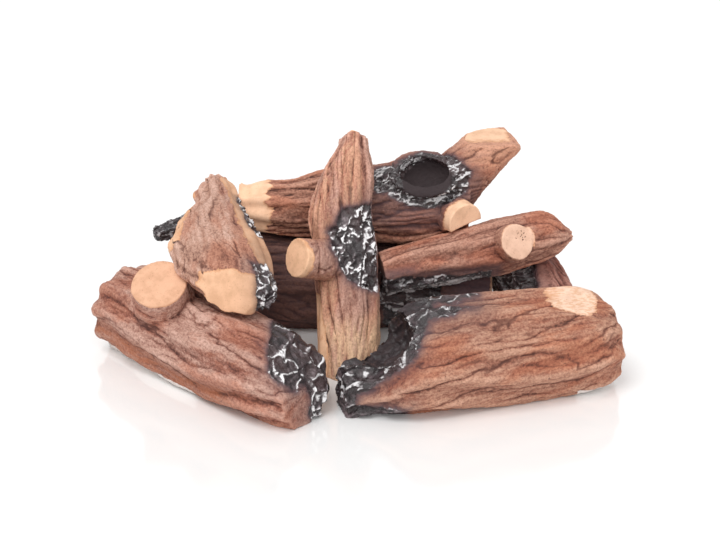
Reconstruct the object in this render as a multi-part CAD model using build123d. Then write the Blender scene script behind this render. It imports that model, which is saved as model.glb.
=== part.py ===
from build123d import *
import math
import os

# Gas log set: nine loose logs of moulded ceramic fibre, stacked by hand over a burner.
# Millimetres. +Z is up, -Y faces the room, +X is to the right of someone facing the fire.
# The origin is on the hearth, under the middle of the stack.

# How the logs meet each other and the hearth
SEAT_GAP = 0.3
SEAT_BITE = 5.0
LEAN_BITE = 1.6
PASSING_GAP = 4.0

# Bark: long fissures that run along every log, never standing above its smooth outline
BARK_DEPTH = 4.5
FRONT_BARK_DEPTH = 6.4
BRANCH_BARK_DEPTH = 3.0
STATIONS = 13
POINTS_PER_FISSURE = 4
RIDGE_CLEAR_SHARE = 0.3

# Rear base log: the widest, flat on the hearth at the back, and it carries the others
REAR_LENGTH = 385.0
REAR_WIDTH = 136.0
REAR_HEIGHT = 140.0
REAR_X = -20.0
REAR_Y = 304.0

# Front left log: flat on the hearth, its charred end towards the middle, a sawn knot on top
FRONT_LEFT_LENGTH = 342.0
FRONT_LEFT_WIDTH = 132.0
FRONT_LEFT_HEIGHT = 122.0
FRONT_LEFT_INNER_X = -59.0
FRONT_LEFT_INNER_Y = -4.0
FRONT_LEFT_YAW = -43.6
FRONT_LEFT_KNOT_ROOT = 54.0
FRONT_LEFT_KNOT_RADIUS = 34.0
FRONT_LEFT_KNOT_REACH = 93.0
FRONT_LEFT_END_OFFSET = 24.0

# Front right log: flat on the hearth, hollowed at its charred left shoulder
FRONT_RIGHT_LENGTH = 344.0
FRONT_RIGHT_WIDTH = 154.0
FRONT_RIGHT_HEIGHT = 143.0
FRONT_RIGHT_TIP_X = -25.0
FRONT_RIGHT_TIP_Y = 38.0
FRONT_RIGHT_YAW = 15.5
FRONT_RIGHT_NOTCH_LENGTH = 42.0
FRONT_RIGHT_NOTCH_BREADTH = 62.0
FRONT_RIGHT_NOTCH_DEPTH = 34.0
FRONT_RIGHT_FACET_OFFSET = 58.0

# Left charred branch: over the rear log's left end, its foot against the forked log's end
LEFT_CHAR_LENGTH = 114.0
LEFT_CHAR_THICKNESS = 36.0
LEFT_CHAR_END_ASIDE = 4.0
LEFT_CHAR_END_DROP = 10.0

# Right charred log: stands on the hearth and leans on the end of the rear log
RIGHT_CHAR_LENGTH = 112.0
RIGHT_CHAR_WIDTH = 84.0
RIGHT_CHAR_HEIGHT = 100.0
RIGHT_CHAR_FOOT_ASIDE = 76.0
RIGHT_CHAR_FOOT_AHEAD = 52.0
RIGHT_CHAR_TOP_ASIDE = 29.0
RIGHT_CHAR_TOP_BEHIND = 20.0
RIGHT_CHAR_TOP_RISE = 52.0

# Right branch log: lies on the rear log and the right charred log, a sawn knot at the front
RIGHT_BRANCH_LENGTH = 252.0
RIGHT_BRANCH_WIDTH = 66.0
RIGHT_BRANCH_HEIGHT = 72.0
RIGHT_BRANCH_KNOT_ROOT = 30.0
RIGHT_BRANCH_KNOT_RADIUS = 23.0
RIGHT_BRANCH_KNOT_REACH = 44.0

# Top forked log: the highest, with a rising limb, a lower stub and a charred knot hole
FORK_LENGTH = 300.0
FORK_WIDTH = 108.0
FORK_HEIGHT = 112.0
FORK_LIMB_ROOT = 46.0
FORK_LIMB_RADIUS = 31.0
FORK_LIMB_REACH = 134.0
FORK_LIMB_SAW_RISE = 88.0
FORK_STUB_ROOT = 30.0
FORK_STUB_RADIUS = 24.0
FORK_STUB_REACH = 72.0
FORK_COLLAR_LENGTH = 46.0
FORK_COLLAR_BREADTH = 36.0
FORK_COLLAR_RISE = 8.0
FORK_HOLE_LENGTH = 32.0
FORK_HOLE_BREADTH = 23.0
FORK_HOLE_DEPTH = 24.0

# Centre branch log: foot on the hearth, leaning back on the forked log, a stub on its left
CENTRE_LENGTH = 316.0
CENTRE_WIDTH = 90.0
CENTRE_THICKNESS = 62.0
CENTRE_FOOT_X = -14.0
CENTRE_FOOT_Y = 129.0
CENTRE_FOOT_TRIM = 12.0
CENTRE_STUB_ROOT = 30.0
CENTRE_STUB_RADIUS = 24.0
CENTRE_STUB_REACH = 77.0

# Left split log: a wedge-shaped slab, its sawn end on the front left log
SPLIT_LENGTH = 272.0
SPLIT_WIDTH = 122.0
SPLIT_THICKNESS = 52.0
SPLIT_END_RISE = 24.0
SPLIT_TOP_ASIDE = 22.0

# Along a log from its start, with width, height, sway to its left and rise, each as a
# share of the log's own length, width or height
REAR_GIRTH_SHARES = [
    (0.0, 0.80, 1.10, 0.0, 0.0),
    (0.15, 0.86, 1.16, 0.0, 0.0),
    (0.4, 0.94, 1.00, 0.0, 0.0),
    (0.7, 1.02, 0.88, 0.0, 0.0),
    (0.9, 1.04, 0.88, 0.0, 0.0),
    (1.0, 0.92, 0.80, 0.0, 0.0),
]
FRONT_LEFT_GIRTH_SHARES = [
    (0.0, 0.76, 0.82, 0.0, 0.02),
    (0.09, 0.90, 0.97, 0.0, 0.04),
    (0.28, 1.00, 1.08, 0.0, 0.04),
    (0.5, 1.00, 1.02, 0.0, 0.01),
    (0.68, 1.00, 0.98, 0.0, 0.0),
    (0.85, 0.94, 0.92, 0.0, -0.01),
    (0.93, 0.84, 0.84, 0.0, -0.03),
    (1.0, 0.60, 0.60, -0.04, -0.10),
]
FRONT_RIGHT_GIRTH_SHARES = [
    (0.0, 0.36, 0.44, -0.05, -0.24),
    (0.06, 0.48, 0.50, -0.05, -0.20),
    (0.15, 0.80, 0.60, -0.03, -0.11),
    (0.22, 0.96, 0.86, -0.01, -0.02),
    (0.3, 1.00, 0.98, 0.0, 0.0),
    (0.5, 1.00, 1.00, 0.0, 0.0),
    (0.8, 0.94, 0.98, 0.0, 0.0),
    (0.92, 0.84, 0.92, 0.0, -0.02),
    (1.0, 0.62, 0.70, 0.0, -0.06),
]
LEFT_CHAR_GIRTH_SHARES = [
    (0.0, 0.30, 0.30, 0.0, 0.0),
    (0.06, 0.70, 0.70, 0.0, 0.0),
    (0.3, 0.95, 0.95, 0.0, 0.0),
    (0.6, 1.00, 1.00, 0.0, 0.02),
    (1.0, 0.90, 0.90, 0.0, 0.03),
]
RIGHT_CHAR_GIRTH_SHARES = [
    (0.0, 0.86, 1.00, 0.0, 0.0),
    (0.3, 0.96, 0.94, 0.0, 0.0),
    (0.6, 1.00, 0.84, 0.0, 0.0),
    (1.0, 0.90, 0.72, 0.0, 0.0),
]
RIGHT_BRANCH_GIRTH_SHARES = [
    (0.0, 0.84, 0.84, 0.0, 0.0),
    (0.3, 0.95, 0.95, 0.0, 0.0),
    (0.6, 1.06, 1.06, 0.0, 0.02),
    (0.84, 1.00, 0.98, 0.0, 0.05),
    (0.93, 0.84, 0.74, 0.0, 0.03),
    (1.0, 0.34, 0.28, 0.0, -0.06),
]
FORK_GIRTH_SHARES = [
    (0.0, 0.60, 0.62, 0.0, 0.0),
    (0.2, 0.66, 0.68, 0.0, 0.0),
    (0.35, 0.74, 0.82, 0.0, 0.05),
    (0.5, 0.82, 0.92, 0.0, 0.08),
    (0.8, 1.00, 1.08, 0.0, 0.12),
    (1.0, 0.84, 0.90, 0.0, 0.10),
]
CENTRE_GIRTH_SHARES = [
    (0.0, 0.90, 0.90, 0.0, 0.0),
    (0.3, 0.90, 1.00, 0.0, 0.0),
    (0.5, 0.92, 1.00, 0.03, 0.0),
    (0.66, 0.92, 1.00, 0.10, 0.0),
    (0.85, 0.76, 0.90, 0.01, 0.0),
    (1.0, 0.42, 0.60, -0.07, 0.0),
]
SPLIT_GIRTH_SHARES = [
    (0.0, 0.28, 0.55, 0.08, 0.0),
    (0.09, 0.44, 0.75, 0.08, 0.0),
    (0.22, 0.52, 0.85, 0.07, 0.0),
    (0.38, 0.80, 0.95, 0.0, 0.0),
    (0.54, 0.98, 1.00, -0.03, 0.0),
    (0.72, 0.98, 1.00, 0.0, 0.0),
    (0.86, 0.80, 1.00, 0.07, 0.0),
    (1.0, 0.64, 0.90, 0.14, 0.0),
]


def eased(table, along):
    """Row of a girth table at any place along a log, eased between the rows given."""
    along = min(max(along, table[0][0]), table[-1][0])
    for before, after in zip(table, table[1:]):
        if along <= after[0]:
            step = (along - before[0]) / (after[0] - before[0])
            ease = step * step * (3 - 2 * step)
            return [a + (b - a) * ease for a, b in zip(before[1:], after[1:])]


def around(degrees):
    """Direction square to a log: 0 is its left side, 90 its top, 180 its right side."""
    turn = math.radians(degrees)
    return Vector(0, math.cos(turn), math.sin(turn))


class Log:
    """One log: oval sections along its own X axis, with Y to its left and Z up."""

    def __init__(self, length, width, height, girth_shares, fissures, bark_depth, phase, base_share=None):
        self.length = length
        self.width = width
        self.height = height
        self.girth_shares = girth_shares
        self.fissures = fissures
        self.bark_depth = bark_depth
        self.phase = phase
        self.base_share = base_share
        self.stubs = []
        self.shape_bark = lambda solid: solid
        self.plane = Plane.XY

    def section(self, along):
        """Centre of the section and its half width and half height."""
        wide, high, sway, rise = eased(self.girth_shares, along)
        centre = Vector(along * self.length, sway * self.width, rise * self.height)
        return centre, wide * self.width / 2, high * self.height / 2

    def crest(self, along, degrees):
        """Point of the smooth outline in the log's own frame, with the way it faces."""
        centre, half_width, half_height = self.section(along)
        way = around(degrees)
        point = centre + Vector(0, half_width * way.Y, half_height * way.Z)
        facing = Vector(0, way.Y / half_width, way.Z / half_height).normalized()
        return point, facing

    def placed_spine(self, along):
        """Centre of the section in the set's frame."""
        return self.plane.from_local_coords(self.section(along)[0])

    def placed_crest(self, along, degrees):
        """Point of the smooth outline in the set's frame, with the way it faces."""
        point, facing = self.crest(along, degrees)
        tip = self.plane.from_local_coords(point + facing)
        start = self.plane.from_local_coords(point)
        return start, tip - start

    def reach(self, along, facing):
        """How far the outline lies from the spine towards a direction, as the log now stands."""
        _, half_width, half_height = self.section(along)
        side = facing.dot(self.plane.y_dir)
        rise = facing.dot(self.plane.z_dir)
        size = math.hypot(side, rise)
        return half_width * half_height * size / math.hypot(half_height * side, half_width * rise)

    def aim(self, start, toward, roll=0):
        """Put the log's start at a point, with its own X axis along a direction."""
        run = toward.normalized()
        left = Vector(0, 0, 1).cross(run).normalized()
        up = run.cross(left)
        turn = math.radians(roll)
        self.plane = Plane(origin=start, x_dir=run, z_dir=up * math.cos(turn) - left * math.sin(turn))

    def lay_flat(self, start_x, start_y, yaw):
        """Lay the log on the hearth, its base cut flat below its spine."""
        turn = math.radians(yaw)
        height = self.base_share * self.height / 2
        self.aim(Vector(start_x, start_y, height), Vector(math.cos(turn), math.sin(turn), 0))

    def pass_through(self, own_a, point_a, own_b, point_b, roll=0):
        """Place the log so that its spine passes through two points."""
        wanted = (point_b - point_a).normalized()
        toward = wanted
        for _ in range(3):
            self.aim(point_a, toward, roll)
            actual = (self.placed_spine(own_b) - self.placed_spine(own_a)).normalized()
            toward = toward + wanted - actual
        self.aim(point_a, toward, roll)
        shift = point_a - self.placed_spine(own_a)
        self.aim(point_a + shift, toward, roll)

    def seat_point(self, own, support, bite=SEAT_BITE):
        """Where the spine lies when the log beds into a support: log, along, around."""
        under, along, degrees = support
        point, facing = under.placed_crest(along, degrees)
        return point + facing * (self.reach(own, facing) - bite)

    def rest_on(self, own_a, support_a, own_b, support_b, roll=0):
        """Lay the log on two supports."""
        for _ in range(2):
            point_a = self.seat_point(own_a, support_a)
            point_b = self.seat_point(own_b, support_b)
            self.pass_through(own_a, point_a, own_b, point_b, roll)

    def outline(self, along, smooth, grow):
        """Face of one section: an oval, with the bark's fissures pressed into it."""
        centre, half_width, half_height = self.section(along)
        half_width += grow
        half_height += grow
        mean = (half_width + half_height) / 2
        depth = 0 if smooth else self.bark_depth / mean / 2
        count = self.fissures * POINTS_PER_FISSURE
        wander = 1.5 * math.sin(2.2 * math.pi * along + self.phase)
        points = []
        for index in range(count):
            turn = 2 * math.pi * index / count
            pressed = 1 - depth * (1 + RIDGE_CLEAR_SHARE - math.cos(self.fissures * turn + self.phase + wander))
            across = half_width * pressed * math.cos(turn)
            up = half_height * pressed * math.sin(turn)
            points.append(centre + Vector(0, across, up))
        return make_face(Spline(*points, periodic=True))

    def trunk(self, smooth=False, grow=0):
        """The log's body, skinned over its sections."""
        spare = grow / self.length
        places = [index / (STATIONS - 1) * (1 + 2 * spare) - spare for index in range(STATIONS)]
        return loft([self.outline(along, smooth, grow) for along in places])

    def add_stub(self, along, degrees, lean, root, radius, reach):
        """Remember a side branch: where it grows, which way, and its sizes."""
        self.stubs.append((along, degrees, lean, root, radius, reach))

    def stub(self, along, degrees, lean, root, radius, reach, grow):
        """A side branch that flares into the trunk and ends in a flat saw cut."""
        start = self.section(along)[0]
        tilt = math.radians(lean)
        way = around(degrees) * math.cos(tilt) + Vector(math.sin(tilt), 0, 0)
        rings = []
        for share in (0, 0.3, 0.6, 1):
            flare = radius + (root - radius) * (1 - share) ** 2
            ring = Plane(origin=start + way * (reach + grow) * share, z_dir=way)
            rings.append(ring * Circle(flare + grow))
        return loft(rings)

    def envelope(self, gap):
        """The smooth shape that a seat is cut with: the log grown by a gap."""
        solid = self.trunk(smooth=True, grow=gap)
        for stub in self.stubs:
            solid = solid + self.stub(*stub, grow=gap)
        return solid.moved(Location(self.plane))

    def solid(self):
        """The log in the set's frame, before its seats are cut."""
        solid = self.trunk()
        for stub in self.stubs:
            solid = solid + self.stub(*stub, grow=0)
        solid = self.shape_bark(solid)
        solid = solid.moved(Location(self.plane))
        if self.base_share is not None:
            solid = split(solid, bisect_by=Plane.XY, keep=Keep.TOP)
        return solid


def saw(log, solid, along, normal, offset):
    """Saw off what lies beyond a plane, given by a spine point, its normal and an offset."""
    way = Vector(*normal).normalized()
    place = log.section(along)[0] + way * offset
    return split(solid, bisect_by=Plane(origin=place, z_dir=way), keep=Keep.BOTTOM)


def hollow(log, along, degrees, half_length, half_breadth, depth):
    """An egg-shaped body centred on the outline, its long way along the log."""
    point, facing = log.crest(along, degrees)
    place = Plane(origin=point, x_dir=(1, 0, 0), z_dir=facing)
    return place * scale(Sphere(1), by=(half_length, half_breadth, depth))


def make_rear_base_log():
    """The big back log."""
    log = Log(REAR_LENGTH, REAR_WIDTH, REAR_HEIGHT, REAR_GIRTH_SHARES, 9, BARK_DEPTH, 4.9, base_share=0.68)
    log.lay_flat(REAR_X - REAR_LENGTH / 2, REAR_Y, 0)
    return log


def make_front_left_log():
    """The left front log, measured from its inner end."""
    log = Log(FRONT_LEFT_LENGTH, FRONT_LEFT_WIDTH, FRONT_LEFT_HEIGHT, FRONT_LEFT_GIRTH_SHARES,
              10, FRONT_BARK_DEPTH, 1.1, base_share=0.72)
    turn = math.radians(FRONT_LEFT_YAW)
    start_x = FRONT_LEFT_INNER_X - FRONT_LEFT_LENGTH * math.cos(turn)
    start_y = FRONT_LEFT_INNER_Y - FRONT_LEFT_LENGTH * math.sin(turn)
    log.lay_flat(start_x, start_y, FRONT_LEFT_YAW)
    log.add_stub(0.30, 118, 17, FRONT_LEFT_KNOT_ROOT, FRONT_LEFT_KNOT_RADIUS, FRONT_LEFT_KNOT_REACH)
    log.shape_bark = lambda solid: saw(log, solid, 0.9, (0.69, 0.12, 0.72), FRONT_LEFT_END_OFFSET)
    return log


def make_front_right_log():
    """The right front log, measured from its narrow tip."""
    log = Log(FRONT_RIGHT_LENGTH, FRONT_RIGHT_WIDTH, FRONT_RIGHT_HEIGHT, FRONT_RIGHT_GIRTH_SHARES,
              10, FRONT_BARK_DEPTH, 0.0, base_share=0.72)
    log.lay_flat(FRONT_RIGHT_TIP_X, FRONT_RIGHT_TIP_Y, FRONT_RIGHT_YAW)

    def shape_bark(solid):
        solid = solid - hollow(log, 0.16, 72, FRONT_RIGHT_NOTCH_LENGTH, FRONT_RIGHT_NOTCH_BREADTH,
                               FRONT_RIGHT_NOTCH_DEPTH)
        return saw(log, solid, 0.83, (0.26, -0.33, 0.91), FRONT_RIGHT_FACET_OFFSET)

    log.shape_bark = shape_bark
    return log


def make_left_char_branch(rear, fork):
    """The thin charred branch, bedded on the rear log, its foot against the forked log."""
    log = Log(LEFT_CHAR_LENGTH, LEFT_CHAR_THICKNESS, LEFT_CHAR_THICKNESS, LEFT_CHAR_GIRTH_SHARES,
              6, BRANCH_BARK_DEPTH, 0.7)
    end = fork.placed_spine(0) - Vector(LEFT_CHAR_END_ASIDE, 0, LEFT_CHAR_END_DROP)
    log.pass_through(0.6, log.seat_point(0.6, (rear, 0.02, 94)), 1, end)
    return log


def make_right_char_log(rear):
    """The short charred log past the rear log's right end."""
    log = Log(RIGHT_CHAR_LENGTH, RIGHT_CHAR_WIDTH, RIGHT_CHAR_HEIGHT, RIGHT_CHAR_GIRTH_SHARES,
              8, BRANCH_BARK_DEPTH, 2.0, base_share=0.66)
    end = rear.placed_spine(1)
    foot_height = log.base_share * RIGHT_CHAR_HEIGHT / 2
    foot = Vector(end.X + RIGHT_CHAR_FOOT_ASIDE, end.Y - RIGHT_CHAR_FOOT_AHEAD, foot_height)
    top = end + Vector(RIGHT_CHAR_TOP_ASIDE, RIGHT_CHAR_TOP_BEHIND, RIGHT_CHAR_TOP_RISE)
    log.pass_through(0, foot, 1, top)
    return log


def make_right_branch_log(rear, right_char):
    """The branch across the right, on the rear log and the right charred log."""
    log = Log(RIGHT_BRANCH_LENGTH, RIGHT_BRANCH_WIDTH, RIGHT_BRANCH_HEIGHT, RIGHT_BRANCH_GIRTH_SHARES,
              8, BRANCH_BARK_DEPTH, 0.3)
    log.rest_on(0.37, (rear, 0.86, 136), 0.76, (right_char, 0.64, 82))
    log.add_stub(0.62, 155, 20, RIGHT_BRANCH_KNOT_ROOT, RIGHT_BRANCH_KNOT_RADIUS, RIGHT_BRANCH_KNOT_REACH)
    return log


def make_top_fork_log(rear):
    """The forked log on top, bedded along the rear log."""
    log = Log(FORK_LENGTH, FORK_WIDTH, FORK_HEIGHT, FORK_GIRTH_SHARES, 9, BARK_DEPTH, 1.7)
    log.rest_on(0.2, (rear, 0.296, 90), 0.8, (rear, 0.806, 92))
    log.add_stub(0.84, 88, 42, FORK_LIMB_ROOT, FORK_LIMB_RADIUS, FORK_LIMB_REACH)
    log.add_stub(0.86, 182, 30, FORK_STUB_ROOT, FORK_STUB_RADIUS, FORK_STUB_REACH)

    def shape_bark(solid):
        solid = solid + hollow(log, 0.80, 125, FORK_COLLAR_LENGTH, FORK_COLLAR_BREADTH, FORK_COLLAR_RISE)
        solid = solid - hollow(log, 0.80, 125, FORK_HOLE_LENGTH, FORK_HOLE_BREADTH, FORK_HOLE_DEPTH)
        return saw(log, solid, 0.9, (-0.05, -0.14, 0.99), FORK_LIMB_SAW_RISE)

    log.shape_bark = shape_bark
    return log


def make_centre_branch_log(fork):
    """The upright branch, standing on the hearth and leaning on the forked log."""
    log = Log(CENTRE_LENGTH, CENTRE_WIDTH, CENTRE_THICKNESS, CENTRE_GIRTH_SHARES,
              9, BRANCH_BARK_DEPTH, 0.9, base_share=0)
    foot = Vector(CENTRE_FOOT_X, CENTRE_FOOT_Y, -CENTRE_FOOT_TRIM)
    for _ in range(2):
        log.pass_through(0, foot, 0.62, log.seat_point(0.62, (fork, 0.45, 162), LEAN_BITE))
    log.add_stub(0.475, 38, 0, CENTRE_STUB_ROOT, CENTRE_STUB_RADIUS, CENTRE_STUB_REACH)
    return log


def make_left_split_log(front_left, fork):
    """The split slab from the front left log back to the forked log's end."""
    log = Log(SPLIT_LENGTH, SPLIT_WIDTH, SPLIT_THICKNESS, SPLIT_GIRTH_SHARES, 10, BRANCH_BARK_DEPTH, 0.2)
    lower = front_left.placed_crest(0.71, 94)[0] + Vector(0, 0, SPLIT_END_RISE)
    for _ in range(2):
        upper = log.seat_point(0.25, (fork, 0.0, 165)) - Vector(SPLIT_TOP_ASIDE, 0, 0)
        log.pass_through(0.25, upper, 0.97, lower)
    log.shape_bark = lambda solid: saw(log, solid, 0.97, (0.82, -0.38, 0.34), 0)
    return log


def bed(upper, *unders, passing=()):
    """Cut the seats: take the logs that this one lies on, and those it only passes, out of it."""
    solid = upper.solid()
    for under in unders:
        solid = solid - under.envelope(SEAT_GAP)
    for neighbour in passing:
        solid = solid - neighbour.envelope(PASSING_GAP)
    return max(solid.solids(), key=lambda piece: piece.volume)


rear_base = make_rear_base_log()
front_left = make_front_left_log()
front_right = make_front_right_log()
right_char = make_right_char_log(rear_base)
right_branch = make_right_branch_log(rear_base, right_char)
top_fork = make_top_fork_log(rear_base)
left_char = make_left_char_branch(rear_base, top_fork)
centre_branch = make_centre_branch_log(top_fork)
left_split = make_left_split_log(front_left, top_fork)

pieces = {
    "rear_base_log": bed(rear_base),
    "front_left_log": bed(front_left),
    "front_right_log": bed(front_right),
    "left_char_branch": bed(left_char, rear_base, top_fork),
    "right_char_log": bed(right_char, rear_base),
    "right_branch_log": bed(right_branch, rear_base, right_char),
    "top_fork_log": bed(top_fork, rear_base, passing=[right_branch]),
    "centre_branch_log": bed(centre_branch, top_fork),
    "left_split_log": bed(left_split, front_left, top_fork, left_char),
}

# Bring the middle of the whole stack over the origin
boxes = [solid.bounding_box() for solid in pieces.values()]
middle_x = (min(box.min.X for box in boxes) + max(box.max.X for box in boxes)) / 2
middle_y = (min(box.min.Y for box in boxes) + max(box.max.Y for box in boxes)) / 2
to_origin = Location((-middle_x, -middle_y, 0))

os.makedirs("parts", exist_ok=True)
for name, solid in pieces.items():
    solid = solid.moved(to_origin)
    solid.label = name
    export_step(solid, f"parts/{name}.step")
    size = solid.bounding_box().size
    print(name, "volume", round(solid.volume / 1000), "cm3, box", [round(v, 1) for v in size])
print("set moved by", to_origin.position)
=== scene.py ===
# %% [markdown]
# # Gas log set: nine painted castings of ceramic fibre
# A gas log set looks like firewood, but each log is one light casting, formed in a mould and
# painted by hand. The CAD gives each log's outline, its seats and its saw cuts. This lesson adds
# what the mould and the brush add: bark, charred plates, sawn faces and paint.
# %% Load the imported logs
import itertools
import math
import bmesh
import bpy
import numpy as np
from mathutils.bvhtree import BVHTree
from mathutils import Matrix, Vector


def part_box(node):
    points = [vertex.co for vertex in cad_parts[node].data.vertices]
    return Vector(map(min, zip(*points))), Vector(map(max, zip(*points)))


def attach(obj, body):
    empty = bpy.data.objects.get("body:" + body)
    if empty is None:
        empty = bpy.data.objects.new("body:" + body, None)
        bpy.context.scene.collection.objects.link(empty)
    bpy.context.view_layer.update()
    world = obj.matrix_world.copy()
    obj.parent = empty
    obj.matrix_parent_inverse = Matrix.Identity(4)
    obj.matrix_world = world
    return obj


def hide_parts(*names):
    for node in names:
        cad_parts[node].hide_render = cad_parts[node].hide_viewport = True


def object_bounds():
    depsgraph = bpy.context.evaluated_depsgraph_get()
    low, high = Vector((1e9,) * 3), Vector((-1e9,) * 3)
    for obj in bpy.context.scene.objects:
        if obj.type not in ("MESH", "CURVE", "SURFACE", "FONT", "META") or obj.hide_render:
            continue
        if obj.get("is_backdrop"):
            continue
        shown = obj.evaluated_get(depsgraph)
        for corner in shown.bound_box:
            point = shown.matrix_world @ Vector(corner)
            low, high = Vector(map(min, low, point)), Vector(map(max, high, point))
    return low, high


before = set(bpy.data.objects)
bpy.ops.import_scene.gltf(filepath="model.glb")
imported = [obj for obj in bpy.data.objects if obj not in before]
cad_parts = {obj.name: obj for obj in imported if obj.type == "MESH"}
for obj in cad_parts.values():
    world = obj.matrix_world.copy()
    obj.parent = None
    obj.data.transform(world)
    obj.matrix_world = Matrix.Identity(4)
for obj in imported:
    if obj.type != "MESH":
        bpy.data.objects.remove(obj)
cad_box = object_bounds()
MM = 0.001
# In millimetres: well outside an area that a mark covers, and far from any crest.
OUTSIDE = -9.0
FAR_AWAY = 9.0
print("logs loaded:", sorted(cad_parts))

# %% [markdown]
# ## Noise worked out by hand
# Bark repeats nowhere, so it is drawn by noise. Gradient noise gives every corner of a lattice
# a fixed slope and blends the eight slopes around a point. Working on whole arrays keeps it fast
# for a hundred thousand points, and a fixed seed gives the same bark on every run.
# %% Gradient noise and its sums
RANDOM = np.random.default_rng(41)
SLOPES = RANDOM.normal(size=(256, 3))
SLOPES /= np.linalg.norm(SLOPES, axis=1)[:, None]
SHUFFLED = RANDOM.permutation(256)
JITTER = RANDOM.random((256, 3))
CORNERS = list(itertools.product((0, 1), repeat=3))


def lattice_number(corner, seed):
    """A number from 0 to 255 for a lattice corner: shuffled x, plus y, shuffled, plus z, shuffled."""
    number = SHUFFLED[(corner[:, 0] + seed) & 255]
    number = SHUFFLED[(number + corner[:, 1]) & 255]
    return SHUFFLED[(number + corner[:, 2]) & 255]


def noise(points, seed):
    """Sum over the eight corners of slope . offset, eased by 6t^5 - 15t^4 + 10t^3: about -1 to 1."""
    cell = np.floor(points).astype(int)
    part = points - cell
    ease = part ** 3 * (part * (part * 6 - 15) + 10)
    total = np.zeros(len(points))
    for corner in CORNERS:
        corner = np.array(corner)
        slope = SLOPES[lattice_number(cell + corner, seed)]
        share = np.prod(np.where(corner, ease, 1 - ease), axis=1)
        total += share * ((part - corner) * slope).sum(1)
    return total * 1.6


def rough(points, seed, octaves):
    """Noise plus half as much at double the frequency, and so on."""
    total = np.zeros(len(points))
    for octave in range(octaves):
        total += noise(points * 2 ** octave, seed + 17 * octave) / 2 ** octave
    return total


def smooth(value, low, high):
    """0 below low, 1 above high, 3t^2 - 2t^3 between."""
    t = np.clip((value - low) / (high - low), 0, 1)
    return t * t * (3 - 2 * t)


# %% [markdown]
# ## Charred plates
# Wood that burns shrinks into plates, like an alligator's skin, and on these castings the plates
# are dented, with sharp crests between them that carry white ash paint. The paint shows that ash
# mostly where a crest faces the light, as a painted highlight. A Voronoi pattern has this form:
# every point belongs to its nearest seed, and a crest runs where two seeds are equally far. Each
# plate is tilted its own way, which gives the crumpled look of charcoal.
# %% Plates around jittered seeds


def plates(points, seed):
    """Distance to the crest and tilt of each plate.

    The distance is (far^2 - near^2) / (2 x the distance between the two seeds). The tilt is
    offset . slope plus a random height, with one slope for each plate.
    """
    cell = np.floor(points).astype(int)
    near = np.full(len(points), FAR_AWAY)
    far = np.full(len(points), FAR_AWAY)
    near_at = np.zeros_like(points)
    far_at = np.zeros_like(points)
    plate_number = np.zeros(len(points), dtype=int)
    for step in itertools.product((-1, 0, 1), repeat=3):
        number = lattice_number(cell + np.array(step), seed)
        place = cell + np.array(step) + JITTER[number]
        gap = ((points - place) ** 2).sum(1)
        first = gap < near
        second = ~first & (gap < far)
        far = np.where(first, near, np.where(second, gap, far))
        far_at = np.where(first[:, None], near_at, np.where(second[:, None], place, far_at))
        near = np.where(first, gap, near)
        near_at = np.where(first[:, None], place, near_at)
        plate_number = np.where(first, number, plate_number)
    apart = np.linalg.norm(far_at - near_at, axis=1)
    tilt = ((points - near_at) * SLOPES[plate_number]).sum(1) + JITTER[plate_number, 0] - 0.5
    return (far - near) / (2 * apart + 1e-6), tilt


# %% [markdown]
# ## A casting to work on
# The CAD mesh has long thin triangles, too coarse for bark. A voxel remesh gives each log an
# even skin of small faces, as a sculptor would start. Each casting keeps its points as arrays,
# with coordinates along and across its grain, so that a fissure can follow the wood.
# %% The casting and its measures
SKIN = 1.5 * MM
# An outline may be drawn in plan, and hold from above only or all round the log.
PLAN = (0, 1)
FROM_ABOVE = (0, 0, 1)
ALL_ROUND = (0, 0, 0)
PLANE_STEP = 0.4 * MM
SMALLEST_CUT = 450 * MM ** 2


def merged_copy(node):
    """The CAD node's mesh as one closed skin: its loose triangles share their corners again."""
    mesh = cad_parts[node].data.copy()
    work = bmesh.new()
    work.from_mesh(mesh)
    bmesh.ops.remove_doubles(work, verts=work.verts, dist=2e-6)
    work.to_mesh(mesh)
    work.free()
    mesh.materials.clear()
    return mesh


def flat_patches(mesh):
    """Saw cuts and bases: triangles in one plane, added up. Each row: centre, normal, radius.

    The centre is the mean weighted by area, and the radius is that of a disc of the same area.
    """
    count = len(mesh.polygons)
    normal = np.empty(count * 3)
    mesh.polygons.foreach_get("normal", normal)
    centre = np.empty(count * 3)
    mesh.polygons.foreach_get("center", centre)
    area = np.empty(count)
    mesh.polygons.foreach_get("area", area)
    normal, centre = normal.reshape(-1, 3), centre.reshape(-1, 3)
    offset = (normal * centre).sum(1)
    key = np.round(np.column_stack([normal * 50, offset / PLANE_STEP])).astype(int)
    _, group = np.unique(key, axis=0, return_inverse=True)
    group = group.ravel()
    total = np.bincount(group, area)
    found = []
    for index in np.nonzero(total > SMALLEST_CUT)[0]:
        rows = group == index
        share = area[rows] / area[rows].sum()
        found.append((share @ centre[rows], share @ normal[rows], math.sqrt(total[index] / math.pi)))
    return found


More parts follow.
